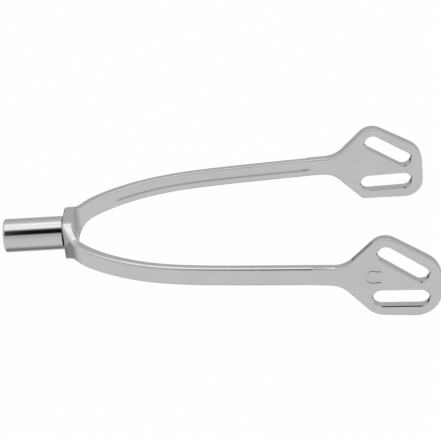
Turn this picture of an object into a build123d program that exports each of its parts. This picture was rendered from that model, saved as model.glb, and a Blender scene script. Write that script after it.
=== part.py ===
from build123d import *
from math import cos, radians, sin, tan
import os

# A roller-neck spur: one forged yoke round the boot's heel, and a smooth barrel that turns on the neck.
#
# The origin is on the neck axis, at the flat inner face of the heel boss.
# +X runs from the heel to the toe, +Z is up, and the neck points along -X.
# All lengths are in millimetres and all angles in degrees.

# ---------------------------------------------------------------- driving dimensions

# Yoke: the band in plan. Each station is (distance from the boss face, half spacing, thickness).
# The first one is where the flat heel boss ends and the branch starts to curve.
BRANCH_STATIONS = [
    (-1.85, 5.0, 3.7),
    (-0.6, 8.5, 2.7),
    (2.3, 13.0, 2.9),
    (11.6, 20.9, 3.0),
    (28.6, 28.4, 2.7),
    (48.6, 31.95, 2.6),
    (68.6, 33.85, 2.65),
    (88.6, 35.6, 2.65),
]
BRANCH_TOE_SLOPE = 5.4          # outward lean of a branch where it meets its plate

# Yoke: the band seen along the neck. Each station is (half spacing, top, bottom).
# The boss keeps its full height up to the first one and has fallen to the branch's at the last.
HEIGHT_STATIONS = [
    (4.0, 7.0, -7.4),
    (7.6, 5.55, -5.9),
    (10.5, 3.95, -4.1),
    (15.0, 3.45, -3.05),
]
TOP_EDGE_RADIUS = 1.0           # on the band's upper outer edge
BOTTOM_EDGE_RADIUS = 0.5
INNER_EDGE_RADIUS = 0.4

# Yoke: the shallow V groove along each branch's inner face. It ends in a pit at the plate's root.
GROOVE_START = 13.0
GROOVE_END = 81.0
GROOVE_LEVEL = -0.5
GROOVE_WIDTH = 1.2
GROOVE_DEPTH = 0.12
GROOVE_PROUD = 0.1              # the cutter stands this far out of the face
PIT_RADIUS = 0.6
PIT_LENGTH = 1.5
PIT_DEPTH = 0.4
PIT_DROP = 6.0                  # the pit's toe end points down by this angle

# Yoke: the end plates. Corners are (along, up) from the end of the branch's centre line.
PLATE_THICKNESS = 3.0
PLATE_EDGE_RADIUS = 0.4
PLATE_YAW = 3.4                 # toe end leans outward
PLATE_PITCH = 2.9               # toe end leans down
PLATE_TILT = 1.7                # top edge leans inward
PLATE_ROOT = -7.4               # where the plate's neck starts on the branch
RAMP_LENGTH = 7.0               # the neck's outer face rises out of the branch over this length
RAMP_DEPTH = 0.45
TOP_CORNER = (14.63, 16.47)
TOE_TOP = (33.93, 5.79)
TOE_BOTTOM = (35.43, -13.93)
BOTTOM_CORNER = (13.04, -14.16)
NECK_TOP = (2.65, 3.25)
NECK_BOTTOM = (1.75, -3.1)
NECK_TOP_RADIUS = 9.0
NECK_BOTTOM_RADIUS = 8.0
TOP_CORNER_RADIUS = 5.7
TOE_TOP_RADIUS = 9.3
TOE_BOTTOM_RADIUS = {1: 6.5, -1: 9.0}       # on the +Y and the -Y plate
BOTTOM_CORNER_RADIUS = {1: 2.0, -1: 8.0}

# Yoke: the strap slots. Centres are (along, up), like the plate's corners.
UPPER_SLOT_AT = (21.81, 5.49)
UPPER_SLOT_LENGTH = 19.1
UPPER_SLOT_WIDTH = 5.75
UPPER_SLOT_ANGLE = -31.8
LOWER_SLOT_AT = (21.55, -7.46)
LOWER_SLOT_LENGTH = 18.7
LOWER_SLOT_WIDTH = 6.1
LOWER_SLOT_ANGLE = 2.6
SLOT_CHAMFER = 0.3

# Yoke: a small horseshoe stamped on the outside of the -Y plate.
MARK_AT = (12.1, 0.85)
MARK_RADIUS = 2.3
MARK_ARC = 230.0
MARK_LEG = 1.7
MARK_STROKE = 0.9
MARK_DEPTH = 0.25

# Neck and roller.
ROLLER_DIAMETER = 11.6
ROLLER_LENGTH = 20.4
ROLLER_GAP = 0.4                # from the boss to the roller
ROLLER_END_RADIUS = 0.7
ROLLER_RIM_CHAMFER = 0.35
ROLLER_BORE = 7.2
BUSH_DIAMETER = 8.4
BUSH_LENGTH = 5.0
BUSH_CHAMFER = 0.3
AXLE_DIAMETER = 5.0
AXLE_CLEARANCE = 0.04           # running clearance on the radius
AXLE_END_PLAY = 0.05
HEAD_DIAMETER = 7.4
HEAD_RIM = 1.0
HEAD_DOME = 0.5
HEAD_RECESS = 0.5               # from the roller's end to the top of the dome
HEAD_CENTRE_DIAMETER = 1.4      # lathe centre in the head
TENON_DIAMETER = 4.0
RIVET_DIAMETER = 6.0
WASHER_DIAMETER = 9.4

# ---------------------------------------------------------------- places along the neck

BOSS_THICKNESS = BRANCH_STATIONS[0][2]
boss_back = -BOSS_THICKNESS
roller_inner = boss_back - ROLLER_GAP
roller_outer = roller_inner - ROLLER_LENGTH
head_top = roller_outer + HEAD_RECESS
head_seat = head_top + HEAD_DOME + HEAD_RIM
outer_bush_end = head_seat + AXLE_END_PLAY
rivet_depth = (RIVET_DIAMETER - TENON_DIAMETER) / 2

# ---------------------------------------------------------------- yoke

heel_direction = (0, 1)
toe_direction = (cos(radians(BRANCH_TOE_SLOPE)), sin(radians(BRANCH_TOE_SLOPE)))
branch_end = BRANCH_STATIONS[-1][0]
boss_top, boss_bottom = HEIGHT_STATIONS[0][1:]
branch_top, branch_bottom = HEIGHT_STATIONS[-1][1:]


def branch_points(outward):
    """Points on the outer (+1) or inner (-1) face of the +Y branch."""
    centres = [Vector(x, y) for x, y, thickness in BRANCH_STATIONS]
    last = len(centres) - 1
    points = []
    for number, (x, y, thickness) in enumerate(BRANCH_STATIONS):
        if number == 0:
            along = Vector(*heel_direction)
        elif number == last:
            along = Vector(*toe_direction)
        else:
            run_in = centres[number] - centres[number - 1]
            run_out = centres[number + 1] - centres[number]
            along = run_in.normalized() * run_out.length + run_out.normalized() * run_in.length
        across = Vector(-along.Y, along.X).normalized()
        points.append(centres[number] + across * (outward * thickness / 2))
    return points


def branch_line(outward):
    """One face of the band's +Y half in plan: the boss's flat, then the branch's curve."""
    points = branch_points(outward)
    with BuildLine() as line:
        Line((points[0].X, 0), points[0])
        Spline(*points, tangents=(heel_direction, toe_direction), tangent_scalars=(1, 1))
    return line.line


def rims(plan_line, up):
    """The band's upper (+1) or lower (-1) edges above or below a line of its plan."""
    def is_rim(edge):
        middle = edge @ 0.5
        in_plan = Vector(middle.X, abs(middle.Y))
        return plan_line.distance_to(in_plan) < 0.01 and middle.Z * up > 1
    return yoke.edges().filter_by(Axis.Z, reverse=True).filter_by(is_rim)


def plate_plane(side):
    """The middle plane of the +Y (side 1) or -Y (side -1) plate: x along it to the toe, y up."""
    along = Vector(1, side * tan(radians(PLATE_YAW)), -tan(radians(PLATE_PITCH)))
    up = Vector(0, -side * tan(radians(PLATE_TILT)), 1)
    return Plane((branch_end, side * BRANCH_STATIONS[-1][1], 0), along, along.cross(up))


def end_plate(side):
    """One end plate. Its neck reaches back on to the branch and starts level with it."""
    root_level = PLATE_ROOT * tan(radians(PLATE_PITCH))
    corners = {
        (PLATE_ROOT, root_level + branch_top): 0,
        NECK_TOP: NECK_TOP_RADIUS,
        TOP_CORNER: TOP_CORNER_RADIUS,
        TOE_TOP: TOE_TOP_RADIUS,
        TOE_BOTTOM: TOE_BOTTOM_RADIUS[side],
        BOTTOM_CORNER: BOTTOM_CORNER_RADIUS[side],
        NECK_BOTTOM: NECK_BOTTOM_RADIUS,
        (PLATE_ROOT, root_level + branch_bottom): 0,
    }
    middle = plate_plane(side)
    outer_face = -side * PLATE_THICKNESS / 2
    ramp_top = middle.from_local_coords(Vector(PLATE_ROOT + RAMP_LENGTH, 0, outer_face))
    ramp_foot = middle.from_local_coords(Vector(PLATE_ROOT, 0, outer_face + side * RAMP_DEPTH))
    ramp_slope = ramp_top - ramp_foot
    ramp = Plane(ramp_foot, ramp_slope, ramp_slope.cross(middle.y_dir) * -side)
    with BuildPart() as plate:
        with BuildSketch(middle.offset(-PLATE_THICKNESS / 2)) as outline:
            with BuildLine():
                Polyline(*corners, close=True)
            make_face()
            for corner, radius in corners.items():
                if radius:
                    fillet(outline.vertices().sort_by_distance(Vector(*corner))[0], radius)
        extrude(amount=PLATE_THICKNESS)
        split(bisect_by=ramp, keep=Keep.BOTTOM)
        outlines = plate.edges()
        for direction in (middle.y_dir, middle.z_dir):
            outlines = outlines.filter_by(Axis(middle.origin, direction), reverse=True)
        fillet(outlines, PLATE_EDGE_RADIUS)
    return plate.part


def inner_grooves():
    """The cutter for the groove along each branch's inner face, with the pit at its toe end."""
    curve = inner_line.edges().sort_by(Axis.X)[-1]
    half_mouth = GROOVE_WIDTH / 2 * (GROOVE_DEPTH + GROOVE_PROUD) / GROOVE_DEPTH
    with BuildPart() as cutter:
        with BuildLine():
            add(curve)
        with BuildSketch(Plane(curve @ 0, x_dir=(-1, 0, 0), z_dir=heel_direction)):
            with BuildLine():
                mouth = Line((-GROOVE_PROUD, half_mouth), (-GROOVE_PROUD, -half_mouth))
                Polyline(mouth @ 1, (GROOVE_DEPTH, 0), mouth @ 0)
            make_face()
        sweep()
        with Locations(((GROOVE_START + GROOVE_END) / 2, 0, 0)):
            Box(GROOVE_END - GROOVE_START, 2 * branch_end, GROOVE_WIDTH * 2, mode=Mode.INTERSECT)
        tip = cutter.faces().sort_by(Axis.X)[-1].center()
        with Locations(Location(tip - Vector(0, PIT_RADIUS - PIT_DEPTH, 0), (0, 90 + PIT_DROP, 0))):
            Cylinder(PIT_RADIUS, PIT_LENGTH)
            with Locations((0, 0, PIT_LENGTH / 2), (0, 0, -PIT_LENGTH / 2)):
                Sphere(PIT_RADIUS)
        mirror(about=Plane.XZ)
    return cutter.part.move(Location((0, 0, GROOVE_LEVEL)))


outer_line = branch_line(1)
inner_line = branch_line(-1)

with BuildPart() as yoke:
    # The band: its plan, cut to the outline that it has along the neck.
    with BuildSketch(Plane.XY.offset(boss_bottom)):
        with BuildLine():
            add(outer_line)
            add(inner_line)
            Line(outer_line @ 0, inner_line @ 0)
            Line(outer_line @ 1, inner_line @ 1)
        make_face()
        mirror(about=Plane.XZ)
    extrude(amount=-2 * boss_bottom)
    with BuildSketch(Plane.YZ.offset(-branch_end)):
        with BuildLine():
            top = Spline(*[(y, top) for y, top, bottom in HEIGHT_STATIONS], tangents=((1, 0), (1, 0)))
            low = Spline(*[(y, bottom) for y, top, bottom in HEIGHT_STATIONS], tangents=((1, 0), (1, 0)))
            Polyline(top @ 0, (0, boss_top), (0, boss_bottom), low @ 0)
            Polyline(top @ 1, (branch_end, branch_top), (branch_end, branch_bottom), low @ 1)
        make_face()
        mirror(about=Plane.YZ)
    extrude(amount=3 * branch_end, mode=Mode.INTERSECT)
    for up, radius in ((1, TOP_EDGE_RADIUS), (-1, BOTTOM_EDGE_RADIUS)):
        fillet(rims(outer_line, up), radius)
        fillet(rims(inner_line, up), INNER_EDGE_RADIUS)

    # The end plates, the grooves that run up to them and the strap slots.
    for side in (1, -1):
        add(end_plate(side))
    add(inner_grooves(), mode=Mode.SUBTRACT)
    for side in (1, -1):
        with BuildSketch(plate_plane(side).offset(-PLATE_THICKNESS)):
            with Locations(UPPER_SLOT_AT):
                SlotOverall(UPPER_SLOT_LENGTH, UPPER_SLOT_WIDTH, rotation=UPPER_SLOT_ANGLE)
            with Locations(LOWER_SLOT_AT):
                SlotOverall(LOWER_SLOT_LENGTH, LOWER_SLOT_WIDTH, rotation=LOWER_SLOT_ANGLE)
        extrude(amount=2 * PLATE_THICKNESS, mode=Mode.SUBTRACT)
        chamfer(edges(Select.LAST), SLOT_CHAMFER)

    # The stamped horseshoe.
    with BuildSketch(plate_plane(-1).offset(PLATE_THICKNESS / 2)):
        with BuildLine():
            bow = CenterArc(MARK_AT, MARK_RADIUS, 180 - MARK_ARC / 2, MARK_ARC)
            Line(bow @ 0, bow @ 0 + (MARK_LEG, 0))
            Line(bow @ 1, bow @ 1 + (MARK_LEG, 0))
        trace(line_width=MARK_STROKE)
    extrude(amount=-MARK_DEPTH, mode=Mode.SUBTRACT)

    # The riveting hole for the axle's tenon, countersunk on the boot side.
    with Locations(Plane.YZ):
        CounterSinkHole(TENON_DIAMETER / 2, RIVET_DIAMETER / 2, counter_sink_angle=90)

# ---------------------------------------------------------------- neck: turned parts

with BuildPart() as neck_axle:
    with BuildSketch(Plane.XY):
        with BuildLine():
            dome = TangentArc(
                (head_top, HEAD_CENTRE_DIAMETER / 2),
                (head_top + HEAD_DOME, HEAD_DIAMETER / 2),
                tangent=(0, 1),
            )
            Polyline(
                dome @ 1,
                (head_seat, HEAD_DIAMETER / 2),
                (head_seat, AXLE_DIAMETER / 2),
                (boss_back, AXLE_DIAMETER / 2),
                (boss_back, TENON_DIAMETER / 2),
                (-rivet_depth, TENON_DIAMETER / 2),
                (0, RIVET_DIAMETER / 2),
                (0, 0),
                (head_top + HEAD_CENTRE_DIAMETER / 2, 0),
                dome @ 0,
            )
        make_face()
    revolve(axis=Axis.X)

with BuildPart() as roller_sleeve:
    with BuildSketch(Plane.XY) as profile:
        with BuildLine():
            Polyline(
                (roller_outer, BUSH_DIAMETER / 2),
                (roller_outer, ROLLER_DIAMETER / 2),
                (roller_inner, ROLLER_DIAMETER / 2),
                (roller_inner, BUSH_DIAMETER / 2),
                (roller_inner - BUSH_LENGTH, BUSH_DIAMETER / 2),
                (roller_inner - BUSH_LENGTH, ROLLER_BORE / 2),
                (outer_bush_end + BUSH_LENGTH, ROLLER_BORE / 2),
                (outer_bush_end + BUSH_LENGTH, BUSH_DIAMETER / 2),
                close=True,
            )
        make_face()
        rim = profile.vertices().group_by(Axis.Y)[-1].sort_by(Axis.X)
        fillet(rim[0], ROLLER_END_RADIUS)
        chamfer(rim[1], ROLLER_RIM_CHAMFER)
        mouth = profile.vertices().group_by(Axis.X)[0].sort_by(Axis.Y)[0]
        chamfer(mouth, ROLLER_RIM_CHAMFER)
    revolve(axis=Axis.X)


def bush(start):
    """A plain bush from `start` towards the boss, chamfered outside where it enters its pocket."""
    with BuildPart() as sleeve:
        with BuildSketch(Plane.YZ.offset(start)):
            Circle(BUSH_DIAMETER / 2)
            Circle(AXLE_DIAMETER / 2 + AXLE_CLEARANCE, mode=Mode.SUBTRACT)
        extrude(amount=BUSH_LENGTH)
        outside = sleeve.edges().filter_by(GeomType.CIRCLE).group_by(SortBy.RADIUS)[-1]
        chamfer(outside, BUSH_CHAMFER)
    return sleeve


inner_bush = bush(roller_inner - BUSH_LENGTH)
outer_bush = bush(outer_bush_end)

with BuildPart() as thrust_washer:
    with BuildSketch(Plane.YZ.offset(roller_inner + AXLE_END_PLAY)):
        Circle(WASHER_DIAMETER / 2)
        Circle(AXLE_DIAMETER / 2, mode=Mode.SUBTRACT)
    extrude(amount=ROLLER_GAP - AXLE_END_PLAY)

# ---------------------------------------------------------------- files

pieces = {
    "yoke": yoke,
    "neck_axle": neck_axle,
    "roller_sleeve": roller_sleeve,
    "inner_bush": inner_bush,
    "outer_bush": outer_bush,
    "thrust_washer": thrust_washer,
}
os.makedirs("parts", exist_ok=True)
for name, piece in pieces.items():
    piece.part.label = name
    export_step(piece.part, f"parts/{name}.step")
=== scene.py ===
import math

import bpy
from mathutils import Matrix, Vector


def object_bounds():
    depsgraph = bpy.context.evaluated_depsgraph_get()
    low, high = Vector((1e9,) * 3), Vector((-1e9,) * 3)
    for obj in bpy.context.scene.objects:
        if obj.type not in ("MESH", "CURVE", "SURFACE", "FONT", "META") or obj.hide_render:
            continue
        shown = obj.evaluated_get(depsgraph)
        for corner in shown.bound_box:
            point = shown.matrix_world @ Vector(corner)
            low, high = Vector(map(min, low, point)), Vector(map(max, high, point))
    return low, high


# Studio, camera and finishes for the roller-neck spur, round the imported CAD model. Lengths are in metres.

# ---------------------------------------------------------------- camera's values

CAMERA_AZIMUTH = 3.63           # degrees round from the spur's right side
CAMERA_ELEVATION = 32.06
CAMERA_ROLL = -5.18
CAMERA_DISTANCE = 0.575
CAMERA_LENS = 136.18            # mm on a 36 mm sensor
CAMERA_TARGET = Vector((0.05053, 0.0, 0.00128))
CAMERA_CLIP_START = 0.01
CAMERA_CLIP_END = 20

# ---------------------------------------------------------------- studio's values

# What the steel reflects. Each profile is a list of (place, value).
# These four go by the direction's angle about the spur's long axis: degrees from straight up, towards the
# camera's side. The dark patch is low on the far side.
TENT = [
    (-180, 0.86), (-145, 0.84), (-128, 0.56), (-116, 0.53), (-80, 0.58), (-66, 0.62), (-56, 0.64),
    (-47, 0.70), (-40, 0.80), (-30, 0.85), (0, 0.86), (30, 0.80), (60, 0.64), (74, 0.64), (85, 0.79),
    (110, 0.84), (180, 0.86),
]
SOFT_BOX = [
    (-31, 0.0), (-25, 0.26), (-20, 0.54), (-16, 0.74), (-12, 0.60), (-5, 0.42), (1, 0.43), (9, 0.63),
    (13, 0.60), (18, 0.20), (23, 0.0),
]
DARK_GAP = [
    (18, 0.0), (23, 0.20), (26, 0.57), (30, 0.90), (34, 0.985), (52, 0.99), (55, 0.96), (58, 0.74),
    (61, 0.33), (65, 0.0),
]
DARK_PATCH = [(-175, 0.0), (-148, 0.55), (-128, 0.80), (-100, 0.80), (-85, 0.0)]
# How far the last three reach towards the spur's heel (-) and toe (+), by the direction's x.
SOFT_BOX_REACH = [(-0.62, 0.0), (-0.38, 1.0), (0.38, 1.0), (0.62, 0.0)]
DARK_GAP_REACH = [
    (-0.60, 0.0), (-0.36, 0.25), (-0.27, 0.5), (-0.22, 0.65), (-0.17, 1.0), (0.0, 1.0), (0.07, 0.5),
    (0.2, 0.0),
]
DARK_PATCH_REACH = [(-0.88, 0.0), (-0.72, 0.70), (-0.50, 1.0), (-0.38, 1.0), (-0.15, 0.0)]
# This one goes by the direction's height, from -1 straight down to 1 straight up.
UNDERSIDE = [
    (-1.0, 0.13), (-0.99, 0.28), (-0.96, 0.40), (-0.93, 0.52), (-0.90, 0.67), (-0.82, 0.93), (-0.72, 1.0),
]

FLOOR_SIZE = 6.0
FLOOR_GLOW = 0.96
FLOOR_TONE = 0.04

# ---------------------------------------------------------------- finishes' values

STEEL_TONE = 0.60
AXLE_TONE = 0.5
RING_PITCH = 0.00012            # of the axle's lathe rings
CREVICE_SHADE_REACH = 0.0009          # how near a neighbouring face has to be for painted shade to darken the steel between them
CREVICE_SHADE_SAMPLES = 8

# The groove along the branches' inner faces, whose sloping walls get painted shade.
GROOVE_LEVEL = -0.0005
GROOVE_HALF_WIDTH = 0.0006
GROOVE_TOE_END = 0.083
GROOVE_DARKENING = 0.42
GROOVE_TILT = (0.06, 0.14)      # the normal's height where a face starts to count as a wall and fully does


# ---------------------------------------------------------------- node helpers


def add_node(tree, kind, inputs=None, **settings):
    """A shader node. `inputs` maps an input's name or number to a value or to another node's output."""
    node = tree.nodes.new(kind)
    for name, value in settings.items():
        setattr(node, name, value)
    for name, value in (inputs or {}).items():
        if isinstance(value, bpy.types.NodeSocket):
            tree.links.new(value, node.inputs[name])
        else:
            node.inputs[name].default_value = value
    return node


def math_node(tree, operation, *values):
    return add_node(tree, "ShaderNodeMath", dict(enumerate(values)), operation=operation).outputs[0]


def split_axes(tree, vector):
    """A vector's X, Y and Z."""
    return add_node(tree, "ShaderNodeSeparateXYZ", {0: vector}).outputs


def object_place(tree):
    """The shaded point in the piece's own space."""
    return add_node(tree, "ShaderNodeTexCoord").outputs["Object"]


def remap(tree, value, start, end, low=0.0, high=1.0):
    """`value` carried from start..end to low..high, and held there beyond."""
    inputs = {"Value": value, "From Min": start, "From Max": end, "To Min": low, "To Max": high}
    return add_node(tree, "ShaderNodeMapRange", inputs).outputs[0]


def raised(tree, base, pattern, rise):
    """`base`, plus `rise` where a 0-to-1 pattern is 1."""
    return math_node(tree, "MULTIPLY_ADD", pattern, rise, base)


def varied(tree, base, pattern, swing):
    """`base`, and up to half of `swing` either way with a 0-to-1 pattern."""
    return raised(tree, base, math_node(tree, "SUBTRACT", pattern, 0.5), swing)


def profile(tree, value, stops):
    """The stops' value at `value`, with straight runs between the stops."""
    start = stops[0][0]
    end = stops[-1][0]
    peak = max(level for place, level in stops)
    ramp = add_node(tree, "ShaderNodeValToRGB", {0: remap(tree, value, start, end)})
    elements = ramp.color_ramp.elements
    while len(elements) > 1:
        elements.remove(elements[-1])
    for number, (place, level) in enumerate(stops):
        position = (place - start) / (end - start)
        element = elements[0] if number == 0 else elements.new(position)
        element.position = position
        element.color = (level / peak, level / peak, level / peak, 1)
    return math_node(tree, "MULTIPLY", ramp.outputs[0], peak)


# ---------------------------------------------------------------- camera and studio


def make_camera():
    """The camera at the photograph's viewing angle."""
    azimuth = math.radians(CAMERA_AZIMUTH)
    elevation = math.radians(CAMERA_ELEVATION)
    roll = math.radians(CAMERA_ROLL)
    back = Vector((
        math.sin(azimuth) * math.cos(elevation),
        -math.cos(azimuth) * math.cos(elevation),
        math.sin(elevation),
    ))
    level_right = Vector((math.cos(azimuth), math.sin(azimuth), 0))
    level_up = back.cross(level_right)
    right = level_right * math.cos(roll) + level_up * math.sin(roll)
    up = level_up * math.cos(roll) - level_right * math.sin(roll)
    camera_data = bpy.data.cameras.new("camera")
    camera_data.lens = CAMERA_LENS
    camera_data.clip_start = CAMERA_CLIP_START
    camera_data.clip_end = CAMERA_CLIP_END
    camera = bpy.data.objects.new("camera", camera_data)
    turn = Matrix((right, up, back)).transposed().to_4x4()
    camera.matrix_world = Matrix.Translation(CAMERA_TARGET + back * CAMERA_DISTANCE) @ turn
    bpy.context.scene.collection.objects.link(camera)
    bpy.context.scene.camera = camera


def make_studio():
    """A light tent with a soft box and two dark areas, as an environment, and a white background."""
    world = bpy.data.worlds.new("studio")
    bpy.context.scene.world = world
    world.use_nodes = True
    tree = world.node_tree
    tree.nodes.clear()
    axes = split_axes(tree, add_node(tree, "ShaderNodeTexCoord").outputs["Generated"])
    along = axes["X"]
    towards_camera = math_node(tree, "MULTIPLY", axes["Y"], -1.0)
    angle = math_node(tree, "DEGREES", math_node(tree, "ARCTAN2", towards_camera, axes["Z"]))

    def area(shape, reach):
        return math_node(tree, "MULTIPLY", profile(tree, angle, shape), profile(tree, along, reach))

    light = math_node(tree, "ADD", profile(tree, angle, TENT), area(SOFT_BOX, SOFT_BOX_REACH))
    for shape, reach in ((DARK_GAP, DARK_GAP_REACH), (DARK_PATCH, DARK_PATCH_REACH)):
        light = math_node(tree, "MULTIPLY", light, math_node(tree, "SUBTRACT", 1.0, area(shape, reach)))
    light = math_node(tree, "MULTIPLY", light, profile(tree, axes["Z"], UNDERSIDE))
    reflected = add_node(tree, "ShaderNodeBackground", {0: light})
    backdrop = add_node(tree, "ShaderNodeBackground", {0: (1, 1, 1, 1)})
    seen = add_node(tree, "ShaderNodeLightPath").outputs["Is Camera Ray"]
    both = add_node(tree, "ShaderNodeMixShader", {0: seen, 1: reflected.outputs[0], 2: backdrop.outputs[0]})
    add_node(tree, "ShaderNodeOutputWorld", {0: both.outputs[0]})


def make_floor(level):
    """A plain white floor, lit evenly, which the steel doesn't mirror."""
    half = FLOOR_SIZE / 2
    mesh = bpy.data.meshes.new("floor")
    corners = [(-half, -half, level), (half, -half, level), (half, half, level), (-half, half, level)]
    mesh.from_pydata(corners, [], [(0, 1, 2, 3)])
    floor = bpy.data.objects.new("floor", mesh)
    bpy.context.scene.collection.objects.link(floor)
    floor.visible_glossy = False
    material, _, surface = new_material("floor_white")
    surface.inputs["Base Color"].default_value = (FLOOR_TONE, FLOOR_TONE, FLOOR_TONE, 1)
    surface.inputs["Roughness"].default_value = 1.0
    surface.inputs["Specular IOR Level"].default_value = 0.0
    surface.inputs["Emission Color"].default_value = (1, 1, 1, 1)
    surface.inputs["Emission Strength"].default_value = FLOOR_GLOW
    mesh.materials.append(material)


# ---------------------------------------------------------------- materials


def new_material(name):
    """A new material, its node tree and its Principled shader."""
    material = bpy.data.materials.new(name)
    material.use_nodes = True
    return material, material.node_tree, material.node_tree.nodes["Principled BSDF"]


def cover(tree, surface, tone, rough, normal, metallic=1.0):
    """The surface with a grey tone, a roughness and a bumped normal."""
    grey = add_node(tree, "ShaderNodeCombineColor", {0: tone, 1: tone, 2: tone}).outputs[0]
    surface.inputs["Metallic"].default_value = metallic
    tree.links.new(grey, surface.inputs["Base Color"])
    tree.links.new(rough, surface.inputs["Roughness"])
    tree.links.new(normal, surface.inputs["Normal"])


def noise(tree, scale, detail, stretch=(1, 1, 1)):
    """Noise in the piece's own space: `scale` is in cells per metre, `stretch` slows it along an axis."""
    inputs = {"Vector": object_place(tree), "Scale": [1 / s for s in stretch]}
    mapping = add_node(tree, "ShaderNodeMapping", inputs)
    inputs = {"Vector": mapping.outputs[0], "Scale": scale, "Detail": detail}
    return add_node(tree, "ShaderNodeTexNoise", inputs).outputs["Fac"]


def bump(tree, height, depth, base=None):
    """A bump of `depth` metres for a height of 0 to 1."""
    inputs = {"Height": height, "Distance": depth, "Strength": 1.0}
    if base is not None:
        inputs["Normal"] = base
    return add_node(tree, "ShaderNodeBump", inputs).outputs[0]


def groove_shade(tree):
    """Painted shade for the groove: 1 on the polished faces, less on the groove's two sloping walls and least
    along its bottom.
    """
    at = split_axes(tree, object_place(tree))
    off_level = math_node(tree, "ABSOLUTE", math_node(tree, "SUBTRACT", at["Z"], GROOVE_LEVEL))
    near_level = remap(tree, off_level, start=0.0, end=GROOVE_HALF_WIDTH, low=1.0, high=0.0)
    normal = add_node(tree, "ShaderNodeNewGeometry").outputs["Normal"]
    tilt = math_node(tree, "ABSOLUTE", split_axes(tree, normal)["Z"])
    sloping = remap(tree, tilt, *GROOVE_TILT)
    behind_plate = math_node(tree, "LESS_THAN", at["X"], GROOVE_TOE_END)
    painted_groove_shade = math_node(tree, "MULTIPLY", math_node(tree, "MULTIPLY", near_level, sloping), behind_plate)
    return raised(tree, 1.0, painted_groove_shade, -GROOVE_DARKENING)


def satin_steel():
    """Forged stainless steel, polished by hand along its length: faint cloud, fine lines, a few scratches."""
    material, tree, surface = new_material("satin_steel")
    cloud = noise(tree, scale=110, detail=4)
    lines = noise(tree, scale=5200, detail=2, stretch=(60, 1, 1))
    scratches = remap(tree, noise(tree, scale=1500, detail=1, stretch=(14, 1, 1)), start=0.70, end=0.76)
    tone = varied(tree, STEEL_TONE, cloud, swing=0.06)
    tone = varied(tree, tone, lines, swing=0.05)
    # Painted shade: the steel's tone is darkened where neighbouring faces are close, in crevices, slot edges
    # and the groove's pit.
    inputs = {"Distance": CREVICE_SHADE_REACH}
    openness = add_node(tree, "ShaderNodeAmbientOcclusion", inputs, samples=CREVICE_SHADE_SAMPLES).outputs["AO"]
    tone = math_node(tree, "MULTIPLY", tone, remap(tree, openness, start=0.2, end=0.75, low=0.6))
    # Painted shade along the groove's walls on the branches' inner faces.
    tone = math_node(tree, "MULTIPLY", tone, groove_shade(tree))
    rough = raised(tree, 0.055, lines, rise=0.05)
    rough = raised(tree, rough, scratches, rise=0.10)
    waves = bump(tree, noise(tree, scale=55, detail=1, stretch=(2, 1, 1)), depth=0.00006)
    cover(tree, surface, tone, rough, bump(tree, lines, depth=0.0000006, base=waves))
    return material


def mirror_steel():
    """The roller's mirror polish, with hairlines round it from turning on the neck and from wear."""
    material, tree, surface = new_material("mirror_steel")
    cloud = noise(tree, scale=160, detail=3)
    hairlines = noise(tree, scale=2600, detail=2, stretch=(1, 12, 12))
    scratches = remap(tree, noise(tree, scale=900, detail=1, stretch=(9, 1, 1)), start=0.72, end=0.77)
    tone = varied(tree, STEEL_TONE, cloud, swing=0.03)
    tone = varied(tree, tone, hairlines, swing=0.03)
    rough = raised(tree, 0.02, hairlines, rise=0.03)
    rough = raised(tree, rough, scratches, rise=0.08)
    cover(tree, surface, tone, rough, bump(tree, noise(tree, scale=90, detail=1), depth=0.000004))
    return material


def turned_steel():
    """The axle's lathe finish: fine rings round the neck's axis."""
    material, tree, surface = new_material("turned_steel")
    axes = split_axes(tree, object_place(tree))
    across = add_node(tree, "ShaderNodeCombineXYZ", {1: axes["Y"], 2: axes["Z"]}).outputs[0]
    radius = add_node(tree, "ShaderNodeVectorMath", {0: across}, operation="LENGTH").outputs["Value"]
    wave = math_node(tree, "SINE", math_node(tree, "MULTIPLY", radius, 2 * math.pi / RING_PITCH))
    rings = raised(tree, 0.5, wave, rise=0.5)
    cloud = noise(tree, scale=400, detail=3)
    tone = varied(tree, AXLE_TONE, cloud, swing=0.08)
    rough = raised(tree, 0.16, cloud, rise=0.15)
    cover(tree, surface, tone, rough, bump(tree, rings, depth=0.000002))
    return material


def black_acetal():
    """Moulded plastic, black, with a fine grain and a grey bloom of wear."""
    material, tree, surface = new_material("black_acetal")
    grain = noise(tree, scale=6000, detail=2)
    wear = remap(tree, noise(tree, scale=900, detail=4), start=0.45, end=0.75, low=0.018, high=0.035)
    rough = raised(tree, 0.35, grain, rise=0.2)
    cover(tree, surface, wear, rough, bump(tree, grain, depth=0.000004), metallic=0.0)
    return material


def finish(node, material):
    """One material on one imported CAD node."""
    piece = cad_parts[node]
    piece.data.materials.clear()
    piece.data.materials.append(material)


# ---------------------------------------------------------------- scene

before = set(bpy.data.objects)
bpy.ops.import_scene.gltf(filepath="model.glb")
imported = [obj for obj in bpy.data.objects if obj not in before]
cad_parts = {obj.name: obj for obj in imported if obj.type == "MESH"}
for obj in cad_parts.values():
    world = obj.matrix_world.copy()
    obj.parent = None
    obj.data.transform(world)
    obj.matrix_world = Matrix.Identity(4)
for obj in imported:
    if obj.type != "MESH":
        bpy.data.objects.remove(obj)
cad_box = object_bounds()
bpy.context.scene.view_settings.view_transform = "Standard"
make_camera()
make_studio()
make_floor(cad_box[0].z)
finish("yoke", satin_steel())
finish("roller_sleeve", mirror_steel())
finish("neck_axle", turned_steel())
acetal = black_acetal()
for name in ("inner_bush", "outer_bush", "thrust_washer"):
    finish(name, acetal)
